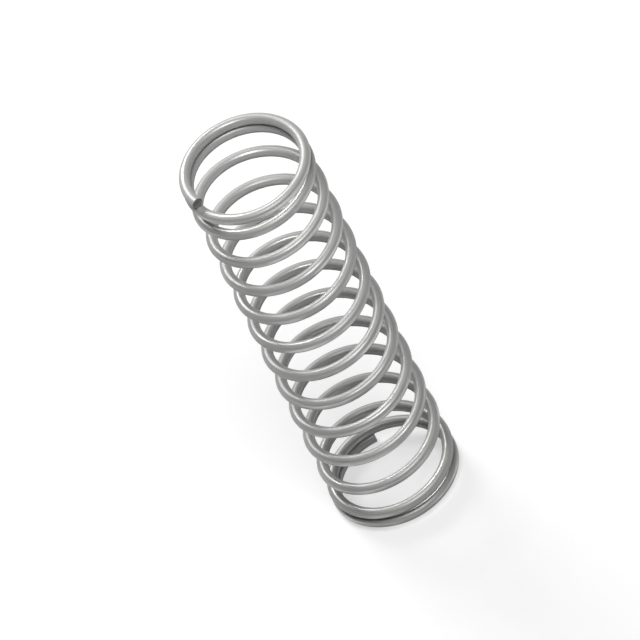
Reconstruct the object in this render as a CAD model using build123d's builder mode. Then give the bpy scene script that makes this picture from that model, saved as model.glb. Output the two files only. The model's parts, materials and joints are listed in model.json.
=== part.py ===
from build123d import *
import os
from math import cos, pi, sin, tau

# Compression spring: one length of round wire coiled right-handed, with both ends closed and
# not ground. The wire is swept along one centreline. From the bottom tip the centreline runs
# one closed coil, one coil over which the pitch opens, and half of the active coils. Both ends
# are alike, so the upper half is the lower half turned over about a level line that passes
# through the middle of the wire.
#
# Frame: millimetres, +Z up along the coil's axis, origin on the axis at the level that the
# bottom coil stands on. The wire's bottom tip lies on +X.

# Driving dimensions
outside_diameter = 15.24
wire_diameter = 1.295
free_length = 57.15
total_coils = 13.3
closed_coils = 1  # at each end, lying on its neighbour
opening_coils = 1.1  # at each end, over which the pitch grows from closed to active
closed_gap = 0.04  # air that is left between the closed coils
cut_edge_break = 0.06  # chamfer round each sheared face of the wire
opening_spans = 6  # curves that make up one opening stretch

# Sizes that follow from them
wire_radius = wire_diameter / 2
mean_radius = (outside_diameter - wire_diameter) / 2
closed_pitch = wire_diameter + closed_gap
tip_to_tip_rise = free_length - wire_diameter
active_coils = total_coils - 2 * (closed_coils + opening_coils)
active_pitch = (tip_to_tip_rise - (2 * closed_coils + opening_coils) * closed_pitch) / (
    active_coils + opening_coils
)
pitch_growth = active_pitch - closed_pitch
closed_rise = closed_coils * closed_pitch
opening_rise = opening_coils * (closed_pitch + active_pitch) / 2
half_active_rise = active_coils / 2 * active_pitch
opening_base = wire_radius + closed_rise
active_base = opening_base + opening_rise
active_bearing = 360 * (closed_coils + opening_coils)
middle_angle = tau * total_coils / 2
middle_line = Axis((0, 0, free_length / 2), (cos(middle_angle), sin(middle_angle), 0))


def opening_station(share):
    """Place, slope and bend of the centreline at a share of the way along the opening stretch.

    The pitch grows along half a cosine wave, so it starts and ends without a corner.
    """
    sweep_angle = tau * opening_coils
    angle = tau * closed_coils + sweep_angle * share
    swing = pitch_growth * opening_coils / 2
    place = Vector(
        mean_radius * cos(angle),
        mean_radius * sin(angle),
        opening_base + closed_pitch * opening_coils * share + swing * (share - sin(pi * share) / pi),
    )
    slope = Vector(
        -mean_radius * sweep_angle * sin(angle),
        mean_radius * sweep_angle * cos(angle),
        closed_pitch * opening_coils + swing * (1 - cos(pi * share)),
    )
    bend = Vector(
        -mean_radius * sweep_angle**2 * cos(angle),
        -mean_radius * sweep_angle**2 * sin(angle),
        swing * pi * sin(pi * share),
    )
    return place, slope, bend


def span_poles(start, end):
    """Six poles of the curve that meets the stations at both ends in place, slope and bend."""
    step = end - start
    place_a, slope_a, bend_a = opening_station(start)
    place_b, slope_b, bend_b = opening_station(end)
    return (
        place_a,
        place_a + slope_a * (step / 5),
        place_a + slope_a * (2 * step / 5) + bend_a * (step**2 / 20),
        place_b - slope_b * (2 * step / 5) + bend_b * (step**2 / 20),
        place_b - slope_b * (step / 5),
        place_b,
    )


with BuildPart() as coil_spring:
    with BuildLine(mode=Mode.PRIVATE) as closed_end:
        Helix(closed_pitch, closed_rise, mean_radius, center=(0, 0, wire_radius))
    with BuildLine(mode=Mode.PRIVATE) as opening:
        for i in range(opening_spans):
            Bezier(*span_poles(i / opening_spans, (i + 1) / opening_spans))
    with BuildLine(mode=Mode.PRIVATE) as half_active:
        Helix(active_pitch, half_active_rise, mean_radius, center=(0, 0, active_base))
    turned_active = half_active.edge().rotate(Axis.Z, active_bearing)
    lower_half = [closed_end.edge(), opening.edge(), turned_active]
    upper_half = [stretch.rotate(middle_line, 180) for stretch in lower_half]
    centreline = Wire(lower_half + upper_half)
    tip = lower_half[0]
    with BuildSketch(Plane(origin=tip @ 0, z_dir=tip % 0)):
        Circle(wire_radius)
    sweep(path=centreline, is_frenet=True, clean=False)
    cut_faces = coil_spring.faces().filter_by(GeomType.PLANE)
    chamfer(cut_faces.edges(), length=cut_edge_break)
coil_spring.part.label = "coil_spring"

expected_volume = pi * wire_radius**2 * centreline.length
print(f"active pitch {active_pitch:.3f} mm, spring index {2 * mean_radius / wire_diameter:.2f}")
print(f"wire length {centreline.length:.1f} mm, volume {coil_spring.part.volume:.2f} mm3")
print(f"section times length {expected_volume:.2f} mm3")

os.makedirs("parts", exist_ok=True)
export_step(coil_spring.part, "parts/coil_spring.step")
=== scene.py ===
"""Looks of a compression spring: one drawn steel wire, coiled right-handed between closed ends.

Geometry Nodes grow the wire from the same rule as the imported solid, and two procedural finishes
dress it: the drawn skin of the wire and the sheared faces at its two tips. Lengths are metres in
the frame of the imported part, which stands on the floor with its axis along +Z. Angles are
degrees, and an azimuth is counted from +X towards +Y.
"""

import json
import logging
from dataclasses import dataclass, fields
from enum import Enum
from math import cos, pi, radians, sin, tau

import bpy
from mathutils import Matrix, Vector


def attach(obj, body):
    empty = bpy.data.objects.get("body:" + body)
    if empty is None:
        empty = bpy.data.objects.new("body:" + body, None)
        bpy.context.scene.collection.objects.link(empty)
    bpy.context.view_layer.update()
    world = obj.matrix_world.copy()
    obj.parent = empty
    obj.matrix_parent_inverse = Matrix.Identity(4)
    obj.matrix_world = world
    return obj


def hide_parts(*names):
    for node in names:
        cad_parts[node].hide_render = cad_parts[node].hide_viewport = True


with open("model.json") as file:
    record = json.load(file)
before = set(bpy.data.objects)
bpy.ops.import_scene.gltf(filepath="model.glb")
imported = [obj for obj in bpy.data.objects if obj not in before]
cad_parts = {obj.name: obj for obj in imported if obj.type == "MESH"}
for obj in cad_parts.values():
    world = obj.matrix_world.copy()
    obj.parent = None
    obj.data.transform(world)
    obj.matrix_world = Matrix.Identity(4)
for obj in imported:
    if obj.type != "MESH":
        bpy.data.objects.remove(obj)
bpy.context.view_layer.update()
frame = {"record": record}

log = logging.getLogger("compression_spring")

Socket = bpy.types.NodeSocket
Point = tuple[float, float, float]
Colour = tuple[float, float, float]
Span = tuple[float, float]

MILLIMETRE = 0.001
MICROMETRE = 1e-6
WHOLE: Span = (0.0, 1.0)
WHITE: Colour = (1.0, 1.0, 1.0)
QUAD_CORNERS = 4


class Slot(Enum):
    """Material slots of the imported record."""

    SPRING_STEEL = "spring_steel"


class CadNode(Enum):
    """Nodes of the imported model."""

    COIL_SPRING = "coil_spring"


class WireField(Enum):
    """Attributes that the wire's mesh carries for its finishes."""

    UNWOUND = "unwound"  # the point's place on the wire if it were pulled straight along Z
    OUTWARD = "outward"  # -1 on the side that faces the coil's axis, 1 on the outside


class Mixed(Enum):
    """What a Mix node mixes: its data type, and the numbers of its two inputs and its output."""

    NUMBER = ("FLOAT", 2, 3, 0)
    COLOUR = ("RGBA", 6, 7, 2)


@dataclass(frozen=True)
class Mottle:
    """A soft noise: the size of one blotch along each axis, in millimetres, and its octaves."""

    spacing: tuple[float, float, float]
    octaves: float


@dataclass(frozen=True)
class Ramp:
    """A change of scale with soft ends: the span that is read and the span that it becomes."""

    source: Span
    target: Span


def opaque(colour: Colour) -> tuple[float, float, float, float]:
    """Give a colour its full alpha."""
    return (*colour, 1.0)


def direction(azimuth: float, elevation: float) -> Vector:
    """Find the unit vector that points out at an azimuth and an elevation above the floor."""
    turn, lift = radians(azimuth), radians(elevation)
    return Vector((cos(lift) * cos(turn), cos(lift) * sin(turn), sin(lift)))


class NodeSheet:
    """Adds nodes to one node tree, wires them up by value or by socket and lays them out."""

    COLUMN_WIDTH = 180
    ROW_HEIGHT = 120
    ROWS = 5

    def __init__(self, tree: bpy.types.NodeTree) -> None:
        """Take the geometry or shader node tree to write in."""
        self.tree = tree
        self.count = 0

    def feed(self, target: Socket, source: object) -> None:
        """Give an input its source.

        Args:
            target: the input socket.
            source: an output socket to link, or a plain value to set.
        """
        if isinstance(source, bpy.types.NodeSocket):
            self.tree.links.new(source, target)
        else:
            target.default_value = source

    def add(
        self, kind: str, inputs: dict[str | int, object] | None = None, **settings: object
    ) -> bpy.types.Node:
        """Add a node.

        Args:
            kind: the node's type name.
            inputs: input socket names or numbers, each with its value or source socket.
            settings: properties to set on the node before its inputs are fed.

        Returns:
            The new node.
        """
        node = self.tree.nodes.new(kind)
        self.count += 1
        row = self.count % self.ROWS
        node.location = (self.COLUMN_WIDTH * self.count, -self.ROW_HEIGHT * row)
        for name, value in settings.items():
            setattr(node, name, value)
        for name, source in (inputs or {}).items():
            self.feed(node.inputs[name], source)
        return node

    def maths(self, operation: str, *terms: object, clamp: bool = False) -> Socket:
        """Work out a number from one to three values or sockets, held in 0 to 1 if clamped."""
        inputs = dict(enumerate(terms))
        return self.add("ShaderNodeMath", inputs, operation=operation, use_clamp=clamp).outputs[0]


class MaterialSheet(NodeSheet):
    """Node sheet of one new material, with the steps that the finishes share."""

    def __init__(self, name: str) -> None:
        """Begin an empty material.

        Args:
            name: the material's name.
        """
        self.material = bpy.data.materials.new(name)
        self.material.use_nodes = True
        super().__init__(self.material.node_tree)
        self.tree.nodes.clear()

    def field(self, name: WireField) -> bpy.types.Node:
        """Read one of the wire's attributes."""
        return self.add("ShaderNodeAttribute", attribute_name=name.value)

    def mottle(self, place: Socket, noise: Mottle) -> Socket:
        """Add a soft noise.

        Args:
            place: the coordinate that it is read at.
            noise: its blotches and octaves.

        Returns:
            The noise, about 0.5 on average.
        """
        scale = tuple(1.0 / (size * MILLIMETRE) for size in noise.spacing)
        scaled = self.add(
            "ShaderNodeMapping", {"Vector": place, "Scale": scale}, vector_type="POINT"
        ).outputs[0]
        inputs = {"Vector": scaled, "Scale": 1.0, "Detail": noise.octaves}
        return self.add("ShaderNodeTexNoise", inputs).outputs[0]

    def ramp(self, value: Socket, change: Ramp) -> Socket:
        """Map a number from one span to another.

        Args:
            value: the number.
            change: the two spans.

        Returns:
            The mapped number.
        """
        inputs = {
            "Value": value,
            "From Min": change.source[0],
            "From Max": change.source[1],
            "To Min": change.target[0],
            "To Max": change.target[1],
        }
        return self.add(
            "ShaderNodeMapRange", inputs, interpolation_type="SMOOTHSTEP"
        ).outputs[0]

    def mix(self, what: Mixed, share: Socket, start: object, end: object) -> Socket:
        """Mix two numbers or two colours.

        Args:
            what: whether they are numbers or colours.
            share: 0 for the first one, 1 for the second.
            start: the first one, as a value or a socket.
            end: the second one, as a value or a socket.

        Returns:
            The mixture.
        """
        data_type, first, second, result = what.value
        inputs = {0: share, first: start, second: end}
        return self.add("ShaderNodeMix", inputs, data_type=data_type).outputs[result]

    def relief(self, height: Socket, depth: float, strength: float) -> Socket:
        """Add a bump, whose height of 1 is the depth, and give its normal."""
        inputs = {"Strength": strength, "Distance": depth, "Height": height}
        return self.add("ShaderNodeBump", inputs).outputs[0]

    def close(self, surface: Socket) -> bpy.types.Material:
        """Give the material its surface shader and hand it out."""
        self.add("ShaderNodeOutputMaterial", {"Surface": surface})
        return self.material


@dataclass(frozen=True)
class SpringSizes:
    """The spring's own dimensions, in metres and in coils."""

    mean_radius: float
    wire_radius: float
    free_length: float
    total_coils: float = 13.3
    closed_coils: float = 1.0  # at each end, lying on its neighbour
    opening_coils: float = 1.1  # at each end, over which the pitch grows
    closed_gap: float = 0.04 * MILLIMETRE  # air that is left between the closed coils
    edge_break: float = 0.06 * MILLIMETRE  # round each cut face

    @classmethod
    def from_record(cls, record: dict) -> "SpringSizes":
        """Read the radii and the length from the record's mounts.

        Args:
            record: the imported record, whose rod and pocket mounts give the coil's two radii.

        Returns:
            The sizes.
        """
        dims = {mount["name"]: mount["dims"] for mount in record["mounts"]}
        inside = dims["guide_rod"]["r_mm"] * MILLIMETRE
        outside = dims["pocket"]["r_mm"] * MILLIMETRE
        return cls(
            mean_radius=(outside + inside) / 2,
            wire_radius=(outside - inside) / 2,
            free_length=dims["pocket"]["length_mm"] * MILLIMETRE,
        )


@dataclass(frozen=True)
class MeshFineness:
    """How finely the wire is divided: along the coil, round the wire and over an edge break."""

    stations_per_coil: int = 112
    facets: int = 40
    break_steps: int = 4

    def stations(self, coils: float) -> int:
        """Count the stations along some coils, an odd number so that one is in the middle."""
        return 2 * round(coils * self.stations_per_coil / 2) + 1


class WireTree:
    """Geometry Nodes tree that grows the coiled wire from its sizes."""

    def __init__(self) -> None:
        """Build the tree and its named inputs."""
        self.tree = bpy.data.node_groups.new("coiled_wire_rule", "GeometryNodeTree")
        self.sheet = NodeSheet(self.tree)
        self.identifiers: dict[str, str] = {}
        for name, kind in (
            ("Mean Radius", "NodeSocketFloat"),
            ("Wire Radius", "NodeSocketFloat"),
            ("Free Length", "NodeSocketFloat"),
            ("Total Coils", "NodeSocketFloat"),
            ("Closed Coils", "NodeSocketFloat"),
            ("Opening Coils", "NodeSocketFloat"),
            ("Closed Gap", "NodeSocketFloat"),
            ("Edge Break", "NodeSocketFloat"),
            ("Stations", "NodeSocketInt"),
            ("Facets", "NodeSocketInt"),
            ("Break Steps", "NodeSocketInt"),
            ("Drawn Skin", "NodeSocketMaterial"),
            ("Cut Face", "NodeSocketMaterial"),
        ):
            item = self.tree.interface.new_socket(name=name, in_out="INPUT", socket_type=kind)
            self.identifiers[name] = item.identifier
        self.tree.interface.new_socket(
            name="Geometry", in_out="OUTPUT", socket_type="NodeSocketGeometry"
        )
        self.given = self.sheet.add("NodeGroupInput").outputs
        self._grow()

    def _count_coils(self) -> tuple[Socket, Socket, Socket]:
        """Number the stations in coils from the nearer tip.

        Returns:
            The coils from the nearer tip, whether the station is in the lower half, and the share
            of the wire's full radius there, which falls off over the broken edge.
        """
        given, maths = self.given, self.sheet.maths
        index = self.sheet.add("GeometryNodeInputIndex").outputs[0]
        last = maths("SUBTRACT", given["Stations"], 1.0)
        from_tip = maths("MINIMUM", index, maths("SUBTRACT", last, index))
        break_angle = maths(
            "MULTIPLY", maths("DIVIDE", from_tip, given["Break Steps"], clamp=True), pi / 2
        )
        edge_in_coils = maths(
            "DIVIDE", given["Edge Break"], maths("MULTIPLY", given["Mean Radius"], tau)
        )
        over_edge = maths(
            "MULTIPLY", edge_in_coils, maths("SUBTRACT", 1.0, maths("COSINE", break_angle))
        )
        half_coils = maths("MULTIPLY", given["Total Coils"], 0.5)
        plain_steps = maths("SUBTRACT", maths("MULTIPLY", last, 0.5), given["Break Steps"])
        step = maths("DIVIDE", maths("SUBTRACT", half_coils, edge_in_coils), plain_steps)
        past_edge = maths("MAXIMUM", maths("SUBTRACT", from_tip, given["Break Steps"]), 0.0)
        coils = maths("MULTIPLY_ADD", past_edge, step, over_edge)
        lower = maths("LESS_THAN", index, maths("MULTIPLY", last, 0.5))
        cut_back = maths(
            "MULTIPLY", given["Edge Break"], maths("SUBTRACT", 1.0, maths("SINE", break_angle))
        )
        radius_share = maths("SUBTRACT", 1.0, maths("DIVIDE", cut_back, given["Wire Radius"]))
        return coils, lower, radius_share

    def _rise(self, coils: Socket) -> Socket:
        """Work out how high the lower half's centreline is above the floor.

        The pitch is closed, then grows along half a cosine wave, then stays active.

        Args:
            coils: coils from the bottom tip.

        Returns:
            The height's socket.
        """
        given, maths = self.given, self.sheet.maths
        closed, opening = given["Closed Coils"], given["Opening Coils"]
        wire = maths("MULTIPLY", given["Wire Radius"], 2.0)
        closed_pitch = maths("ADD", wire, given["Closed Gap"])
        at_closed_pitch = maths("MULTIPLY_ADD", closed, 2.0, opening)
        tip_to_tip = maths("SUBTRACT", given["Free Length"], wire)
        closed_rise = maths("MULTIPLY", at_closed_pitch, closed_pitch)
        active_rise = maths("SUBTRACT", tip_to_tip, closed_rise)
        at_active_pitch = maths("SUBTRACT", given["Total Coils"], at_closed_pitch)
        active_pitch = maths("DIVIDE", active_rise, at_active_pitch)
        growth = maths("SUBTRACT", active_pitch, closed_pitch)
        past_closed = maths("SUBTRACT", coils, closed)
        share = maths("DIVIDE", past_closed, opening, clamp=True)
        wave = maths("DIVIDE", maths("SINE", maths("MULTIPLY", share, pi)), pi)
        ramp = maths(
            "MULTIPLY", maths("MULTIPLY", opening, 0.5), maths("SUBTRACT", share, wave)
        )
        past_opening = maths("MAXIMUM", maths("SUBTRACT", past_closed, opening), 0.0)
        grown = maths("MULTIPLY", growth, maths("ADD", ramp, past_opening))
        base = maths("MULTIPLY_ADD", coils, closed_pitch, given["Wire Radius"])
        return maths("ADD", base, grown)

    def _centreline(self) -> Socket:
        """Lay the stations of the centreline out along the coil.

        Returns:
            The curve's socket, with its radius, normals and length attribute set.
        """
        given, sheet, maths = self.given, self.sheet, self.sheet.maths
        from_tip, lower, radius_share = self._count_coils()
        rise = self._rise(from_tip)
        from_top = maths("SUBTRACT", given["Total Coils"], from_tip)
        coils = sheet.add(
            "GeometryNodeSwitch", {0: lower, 1: from_top, 2: from_tip}, input_type="FLOAT"
        ).outputs[0]
        height = sheet.add(
            "GeometryNodeSwitch",
            {0: lower, 1: maths("SUBTRACT", given["Free Length"], rise), 2: rise},
            input_type="FLOAT",
        ).outputs[0]
        angle = maths("MULTIPLY", coils, tau)
        place = sheet.add(
            "ShaderNodeCombineXYZ",
            {
                0: maths("MULTIPLY", given["Mean Radius"], maths("COSINE", angle)),
                1: maths("MULTIPLY", given["Mean Radius"], maths("SINE", angle)),
                2: height,
            },
        ).outputs[0]
        line = sheet.add("GeometryNodeCurvePrimitiveLine").outputs[0]
        stations = sheet.add(
            "GeometryNodeResampleCurve", {"Curve": line, "Count": given["Stations"]}, mode="COUNT"
        ).outputs[0]
        laid = sheet.add(
            "GeometryNodeSetPosition", {"Geometry": stations, "Position": place}
        ).outputs[0]
        sized = sheet.add(
            "GeometryNodeSetCurveRadius", {"Curve": laid, "Radius": radius_share}
        ).outputs[0]
        upright = sheet.add("GeometryNodeSetCurveNormal", {"Curve": sized}, mode="Z_UP").outputs[0]
        length = sheet.add("GeometryNodeSplineParameter").outputs["Length"]
        return self._store(upright, "run", "FLOAT", length)

    def _store(self, geometry: Socket, name: str, kind: str, value: Socket) -> Socket:
        """Store a point attribute.

        Args:
            geometry: the geometry's socket.
            name: the attribute's name.
            kind: its data type.
            value: its value.

        Returns:
            The geometry with the attribute.
        """
        inputs = {"Geometry": geometry, "Name": name, "Value": value}
        return self.sheet.add(
            "GeometryNodeStoreNamedAttribute", inputs, data_type=kind, domain="POINT"
        ).outputs[0]

    def _read(self, name: str, kind: str) -> Socket:
        """Read a stored attribute of a given data type."""
        inputs = {"Name": name}
        return self.sheet.add("GeometryNodeInputNamedAttribute", inputs, data_type=kind).outputs[0]

    def _label(self, mesh: Socket) -> Socket:
        """Store the fields that the finishes read.

        Args:
            mesh: the wire's mesh, with the run and section attributes.

        Returns:
            The mesh with the unwound place and the outward share.
        """
        given, sheet, maths = self.given, self.sheet, self.sheet.maths
        run = sheet.add("ShaderNodeCombineXYZ", {2: self._read("run", "FLOAT")}).outputs[0]
        unwound = sheet.add(
            "ShaderNodeVectorMath", {0: self._read("section", "FLOAT_VECTOR"), 1: run}
        ).outputs[0]
        mesh = self._store(mesh, WireField.UNWOUND.value, "FLOAT_VECTOR", unwound)
        place = sheet.add("GeometryNodeInputPosition").outputs[0]
        level = sheet.add(
            "ShaderNodeVectorMath", {0: place, 1: (1.0, 1.0, 0.0)}, operation="MULTIPLY"
        ).outputs[0]
        reach = sheet.add("ShaderNodeVectorMath", {0: level}, operation="LENGTH").outputs["Value"]
        outward = maths(
            "DIVIDE", maths("SUBTRACT", reach, given["Mean Radius"]), given["Wire Radius"]
        )
        mesh = self._store(mesh, WireField.OUTWARD.value, "FLOAT", outward)
        for scratch in ("run", "section"):
            mesh = sheet.add(
                "GeometryNodeRemoveAttribute", {"Geometry": mesh, "Name": scratch}
            ).outputs[0]
        return mesh

    def _grow(self) -> None:
        """Sweep the wire's section along the centreline and hand the mesh out.

        The two cut faces are the only ones with more corners than a quad has.
        """
        given, sheet = self.given, self.sheet
        circle = sheet.add(
            "GeometryNodeCurvePrimitiveCircle",
            {"Resolution": given["Facets"], "Radius": given["Wire Radius"]},
            mode="RADIUS",
        ).outputs[0]
        place = sheet.add("GeometryNodeInputPosition").outputs[0]
        section = self._store(circle, "section", "FLOAT_VECTOR", place)
        wire = sheet.add(
            "GeometryNodeCurveToMesh",
            {"Curve": self._centreline(), "Profile Curve": section, "Fill Caps": True},
        ).outputs[0]
        wire = self._label(wire)
        corners = sheet.add("GeometryNodeInputMeshFaceNeighbors").outputs["Vertex Count"]
        is_cut = sheet.add(
            "FunctionNodeCompare",
            {2: corners, 3: QUAD_CORNERS},
            data_type="INT",
            operation="GREATER_THAN",
        ).outputs[0]
        smooth = sheet.add(
            "GeometryNodeSetShadeSmooth", {"Geometry": wire, "Shade Smooth": True}
        ).outputs[0]
        flat = sheet.add(
            "GeometryNodeSetShadeSmooth",
            {"Geometry": smooth, "Selection": is_cut, "Shade Smooth": False},
        ).outputs[0]
        real = sheet.add("GeometryNodeRealizeInstances", {"Geometry": flat}).outputs[0]
        skinned = sheet.add(
            "GeometryNodeSetMaterial", {"Geometry": real, "Material": given["Drawn Skin"]}
        ).outputs[0]
        finished = sheet.add(
            "GeometryNodeSetMaterial",
            {"Geometry": skinned, "Selection": is_cut, "Material": given["Cut Face"]},
        ).outputs[0]
        sheet.add("NodeGroupOutput", {"Geometry": finished})


@dataclass(frozen=True)
class DrawnSkin:
    """Drawn wire: a dull film from the die, with bare lines and rubs where it is burnished."""

    film: Colour = (0.5, 0.505, 0.495)
    bare: Colour = (0.66, 0.665, 0.65)
    film_metal: float = 0.15
    bare_metal: float = 0.8
    film_roughness: float = 0.38
    bare_roughness: float = 0.32
    gloss: float = 0.3
    grazing: Colour = (0.5, 0.5, 0.5)
    die_lines: Mottle = Mottle((0.10, 0.10, 16.0), octaves=3.0)
    blotches: Mottle = Mottle((0.9, 0.9, 5.0), octaves=3.0)
    grain: Mottle = Mottle((0.05, 0.05, 0.12), octaves=1.0)
    line_shine: Ramp = Ramp((0.42, 0.68), (0.0, 0.75))
    rub_shine: Ramp = Ramp((0.86, 0.99), (0.0, 0.55))
    wear: Ramp = Ramp((0.38, 0.66), (0.3, 1.0))
    speckle: Ramp = Ramp((0.3, 0.7), (-0.03, 0.03))
    grain_height: float = 0.35
    line_depth: float = 3 * MICROMETRE
    bump: float = 0.6

    def build(self) -> bpy.types.Material:
        """Make the material.

        Returns:
            The drawn skin.
        """
        sheet = MaterialSheet("drawn_wire_skin")
        place = sheet.field(WireField.UNWOUND).outputs["Vector"]
        outward = sheet.field(WireField.OUTWARD).outputs["Fac"]
        lines = sheet.mottle(place, self.die_lines)
        grain = sheet.mottle(place, self.grain)
        worn = sheet.ramp(sheet.mottle(place, self.blotches), self.wear)
        bare_lines = sheet.maths("MULTIPLY", sheet.ramp(lines, self.line_shine), worn)
        bare_rubs = sheet.maths("MULTIPLY", sheet.ramp(outward, self.rub_shine), worn)
        burnish = sheet.maths("ADD", bare_lines, bare_rubs, clamp=True)
        metal = Ramp(WHOLE, (self.film_metal, self.bare_metal))
        roughness = Ramp(WHOLE, (self.film_roughness, self.bare_roughness))
        speckle = sheet.ramp(grain, self.speckle)
        height = sheet.maths("ADD", lines, sheet.maths("MULTIPLY", grain, self.grain_height))
        skin = sheet.add(
            "ShaderNodeBsdfPrincipled",
            {
                "Base Color": sheet.mix(
                    Mixed.COLOUR, burnish, opaque(self.film), opaque(self.bare)
                ),
                "Metallic": sheet.ramp(burnish, metal),
                "Specular IOR Level": self.gloss,
                "Specular Tint": opaque(self.grazing),
                "Roughness": sheet.maths("ADD", sheet.ramp(burnish, roughness), speckle),
                "Normal": sheet.relief(height, self.line_depth, self.bump),
            },
        )
        return sheet.close(skin.outputs[0])


@dataclass(frozen=True)
class CutFace:
    """Sheared end of the wire: a smear band where the blade went in, then a grain where the steel
    tore. Both tones sit well below the wire's skin, partly the face's own dull tone and partly
    painted shade.
    """

    # both colours: partly the sheared face's own dull tone, partly painted shade that darkens the
    # whole end face
    smeared: Colour = (0.29, 0.29, 0.285)
    torn: Colour = (0.17, 0.17, 0.17)
    metal: float = 0.15
    smeared_roughness: float = 0.5
    torn_roughness: float = 0.65
    band: Span = (0.10 * MILLIMETRE, 0.26 * MILLIMETRE)
    band_wander: float = 0.2 * MILLIMETRE
    tear: Mottle = Mottle((0.09, 0.09, 0.09), octaves=4.0)
    drag: Mottle = Mottle((0.035, 0.8, 0.8), octaves=2.0)
    tear_tone: Ramp = Ramp((0.3, 0.7), (0.0, 0.5))
    tone_share: float = 0.6
    tear_depth: float = 25 * MICROMETRE
    bump: float = 0.5

    def build(self) -> bpy.types.Material:
        """Make the material.

        Returns:
            The cut face.
        """
        sheet = MaterialSheet("sheared_wire_end")
        place = sheet.field(WireField.UNWOUND).outputs["Vector"]
        across = sheet.add("ShaderNodeSeparateXYZ", {0: place}).outputs["Y"]
        tear = sheet.mottle(place, self.tear)
        drag = sheet.mottle(place, self.drag)
        edge = sheet.maths("MULTIPLY_ADD", tear, self.band_wander, across)
        smear = sheet.ramp(edge, Ramp(self.band, WHOLE))
        tone = sheet.maths("ADD", smear, sheet.ramp(tear, self.tear_tone))
        shade = sheet.maths("MULTIPLY", tone, self.tone_share, clamp=True)
        roughness = Ramp(WHOLE, (self.torn_roughness, self.smeared_roughness))
        height = sheet.mix(Mixed.NUMBER, smear, tear, drag)
        face = sheet.add(
            "ShaderNodeBsdfPrincipled",
            {
                # the base colour carries painted shade: both tones are darker than the cut steel
                # itself
                "Base Color": sheet.mix(
                    Mixed.COLOUR, shade, opaque(self.torn), opaque(self.smeared)
                ),
                "Metallic": self.metal,
                "Roughness": sheet.ramp(smear, roughness),
                "Normal": sheet.relief(height, self.tear_depth, self.bump),
            },
        )
        return sheet.close(face.outputs[0])


@dataclass(frozen=True)
class CoiledWire:
    """The whole spring: one wire with its drawn skin and two cut faces."""

    sizes: SpringSizes
    fineness: MeshFineness = MeshFineness()

    def build(self) -> bpy.types.Object:
        """Grow the wire, dress it and put it in the node's place.

        Returns:
            The finished piece.
        """
        tree = WireTree()
        piece = bpy.data.objects.new("coiled_wire", bpy.data.meshes.new("coiled_wire_seed"))
        bpy.context.scene.collection.objects.link(piece)
        modifier = piece.modifiers.new("coil", "NODES")
        modifier.node_group = tree.tree
        for name, value in self._tree_inputs().items():
            modifier[tree.identifiers[name]] = value
        bpy.context.view_layer.update()
        evaluated = piece.evaluated_get(bpy.context.evaluated_depsgraph_get())
        mesh = bpy.data.meshes.new_from_object(evaluated)
        piece.modifiers.clear()
        seed, piece.data = piece.data, mesh
        mesh.name = "coiled_wire"
        bpy.data.meshes.remove(seed)
        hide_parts(CadNode.COIL_SPRING.value)
        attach(piece, "root")
        return piece

    def _tree_inputs(self) -> dict[str, object]:
        """List the values of the tree's named inputs.

        Returns:
            Input names with their values.
        """
        values = {
            item.name.replace("_", " ").title(): getattr(self.sizes, item.name)
            for item in fields(self.sizes)
        }
        values["Stations"] = self.fineness.stations(self.sizes.total_coils)
        values["Facets"] = self.fineness.facets
        values["Break Steps"] = self.fineness.break_steps
        values["Drawn Skin"] = DrawnSkin().build()
        values["Cut Face"] = CutFace().build()
        return values


@dataclass(frozen=True)
class PhotoCamera:
    """View of the photograph: without perspective, from above and rolled to one side."""

    middle: Vector
    azimuth: float = 178.5
    elevation: float = 46.043
    roll: float = 26.109
    width: float = 0.071505  # of the picture, at the spring
    distance: float = 0.6

    def build(self) -> bpy.types.Object:
        """Make the camera and set it as the scene's own.

        Returns:
            The camera.
        """
        roll = radians(self.roll)
        back = direction(self.azimuth, self.elevation)
        level = direction(self.azimuth + 90.0, 0.0)
        rise = back.cross(level)
        across = cos(roll) * level - sin(roll) * rise
        up = sin(roll) * level + cos(roll) * rise
        lens = bpy.data.cameras.new("photo_camera")
        lens.type = "ORTHO"
        lens.ortho_scale = self.width
        camera = bpy.data.objects.new("photo_camera", lens)
        camera.matrix_world = Matrix.Translation(self.middle + back * self.distance) @ (
            Matrix((across, up, back)).transposed().to_4x4()
        )
        bpy.context.scene.collection.objects.link(camera)
        bpy.context.scene.camera = camera
        return camera


@dataclass(frozen=True)
class Lamp:
    """One round soft box, placed by direction round the spring.

    At a level of 1, a surface that faces the lamp shows its colour as it is written.
    """

    name: str
    azimuth: float
    elevation: float
    width: float
    level: float
    distance: float = 0.5

    def build(self, target: Vector) -> bpy.types.Object:
        """Hang the lamp so that it faces the target.

        A lamp of power P lights what faces it at a distance d with P / (pi * d**2), and a level
        of 1 is a light of pi.

        Args:
            target: the point that it faces.

        Returns:
            The lamp.
        """
        way = direction(self.azimuth, self.elevation)
        light = bpy.data.lights.new(self.name, "AREA")
        light.shape = "DISK"
        light.size = self.width
        light.energy = self.level * pi**2 * self.distance**2
        lamp = bpy.data.objects.new(self.name, light)
        lamp.location = target + way * self.distance
        lamp.rotation_mode = "QUATERNION"
        lamp.rotation_quaternion = (-way).to_track_quat("-Z", "Y")
        bpy.context.scene.collection.objects.link(lamp)
        return lamp


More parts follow.
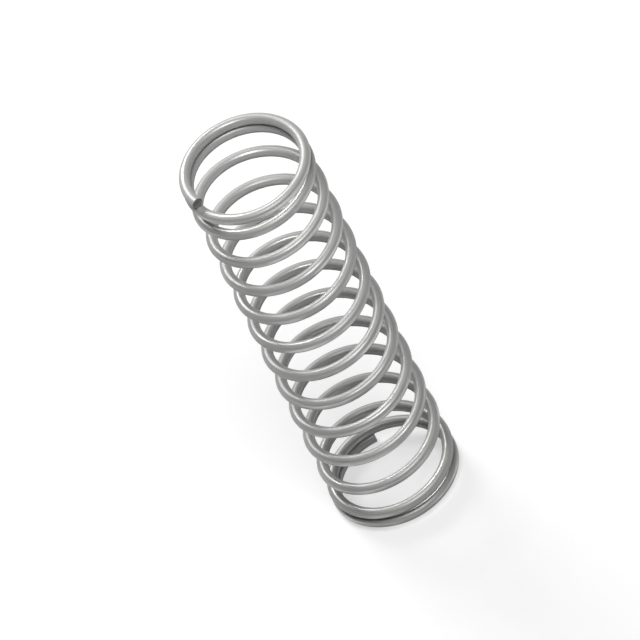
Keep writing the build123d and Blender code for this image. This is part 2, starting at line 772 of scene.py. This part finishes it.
@dataclass(frozen=True)
class Studio:
    """Plain pale floor with a low pale wall round it, two soft boxes and a dim surround.

    One box hangs high on the camera's side. The other hangs low behind the spring, so that its
    light reaches the inside of every coil past the one above it.
    """

    middle: Vector
    radius: float = 2.0
    wall_height: float = 0.3
    wall_panels: int = 72
    bounce: float = 0.01  # how much of the lamps' light the backdrop gives back to the spring
    floor_grey: float = 0.5  # near the spring, where the glow below makes it white in the light
    floor_glow: float = 0.57
    shadow_reach: Span = (0.10, 0.22)  # from the axis, where the floor's shadow fades to white
    surround: float = 0.01
    lamps: tuple[Lamp, ...] = (
        Lamp("front_soft_box", azimuth=-171.5, elevation=66.0, width=0.24, level=0.66),
        Lamp("back_soft_box", azimuth=13.5, elevation=42.0, width=0.26, level=0.72),
    )

    def _matt(self, sheet: MaterialSheet, shade: float) -> Socket:
        """Add a plain grey surface, which gives back a given share of the light on it."""
        inputs = {"Color": opaque((shade, shade, shade))}
        return sheet.add("ShaderNodeBsdfDiffuse", inputs).outputs[0]

    def _glow(self, sheet: MaterialSheet, strength: float) -> Socket:
        """Add a white glow, where a strength of 1 is plain white."""
        inputs = {"Color": opaque(WHITE), "Strength": strength}
        return sheet.add("ShaderNodeEmission", inputs).outputs[0]

    def _shadowed(self, sheet: MaterialSheet, white: Socket) -> Socket:
        """Let a white floor take the spring's shadow near the axis.

        Args:
            sheet: the floor's node sheet.
            white: the shader of the floor further out.

        Returns:
            The shader's socket.
        """
        shaded = sheet.add(
            "ShaderNodeAddShader",
            {0: self._matt(sheet, self.floor_grey), 1: self._glow(sheet, self.floor_glow)},
        ).outputs[0]
        place = sheet.add("ShaderNodeTexCoord").outputs["Object"]
        reach = sheet.add(
            "ShaderNodeVectorMath", {0: place}, operation="LENGTH"
        ).outputs["Value"]
        far = sheet.ramp(reach, Ramp(self.shadow_reach, WHOLE))
        return sheet.add("ShaderNodeMixShader", {0: far, 1: shaded, 2: white}).outputs[0]

    def _backdrop(self, name: str, shadowed: bool) -> bpy.types.Material:
        """Make a backdrop: white where it is looked at or mirrored, dull grey for bounced light.

        Args:
            name: the material's name.
            shadowed: whether it takes the spring's shadow.

        Returns:
            The material.
        """
        sheet = MaterialSheet(name)
        rays = sheet.add("ShaderNodeLightPath").outputs
        seen = sheet.maths("MAXIMUM", rays["Is Camera Ray"], rays["Is Glossy Ray"])
        seen = sheet.maths("MAXIMUM", seen, rays["Is Transmission Ray"])
        white = self._glow(sheet, 1.0)
        if shadowed:
            white = self._shadowed(sheet, white)
        dull = self._matt(sheet, self.bounce)
        mixed = sheet.add("ShaderNodeMixShader", {0: seen, 1: dull, 2: white})
        return sheet.close(mixed.outputs[0])

    def _ring(self, height: float) -> list[Point]:
        """Lay out the corners of the studio's round outline.

        Args:
            height: their height above the floor.

        Returns:
            The corners.
        """
        step = tau / self.wall_panels
        return [
            (self.radius * cos(step * i), self.radius * sin(step * i), height)
            for i in range(self.wall_panels)
        ]

    def _stand(
        self,
        name: str,
        points: list[Point],
        faces: list[tuple[int, ...]],
        material: bpy.types.Material,
    ) -> None:
        """Put one piece of the studio in place.

        Args:
            name: the piece's name.
            points: its corners.
            faces: its faces, as corner numbers.
            material: its material.
        """
        mesh = bpy.data.meshes.new(name)
        mesh.from_pydata(points, [], faces)
        mesh.materials.append(material)
        piece = bpy.data.objects.new(name, mesh)
        bpy.context.scene.collection.objects.link(piece)

    def _surround(self) -> None:
        """Set the even light that comes from all round."""
        world = bpy.data.worlds.new("studio_surround")
        world.use_nodes = True
        background = world.node_tree.nodes["Background"]
        background.inputs["Color"].default_value = opaque(WHITE)
        background.inputs["Strength"].default_value = self.surround
        bpy.context.scene.world = world

    def build(self) -> None:
        """Lay the floor, put the wall round it, hang the lamps and set the surround.

        The wall also reaches below the floor, for views from so low that they start under it.
        """
        count = self.wall_panels
        foot, brim = self._ring(-self.wall_height), self._ring(self.wall_height)
        panels = [
            (i, i + count, (i + 1) % count + count, (i + 1) % count) for i in range(count)
        ]
        floor = self._backdrop("pale_floor", shadowed=True)
        self._stand("studio_floor", self._ring(0.0), [tuple(range(count))], floor)
        wall = self._backdrop("pale_wall", shadowed=False)
        self._stand("studio_wall", foot + brim, panels, wall)
        for lamp in self.lamps:
            lamp.build(self.middle)
        self._surround()
        bpy.context.scene.view_settings.view_transform = "Standard"


def main() -> None:
    """Build the studio and the spring, and report each piece."""
    logging.basicConfig(level=logging.INFO, format="%(name)s: %(message)s")
    sizes = SpringSizes.from_record(frame["record"])
    middle = Vector((0.0, 0.0, sizes.free_length / 2))
    PhotoCamera(middle).build()
    Studio(middle).build()
    wire = CoiledWire(sizes).build()
    wire.data.calc_loop_triangles()
    log.info("%s: %d triangles", wire.name, len(wire.data.loop_triangles))


if __name__ == "__main__":
    main()
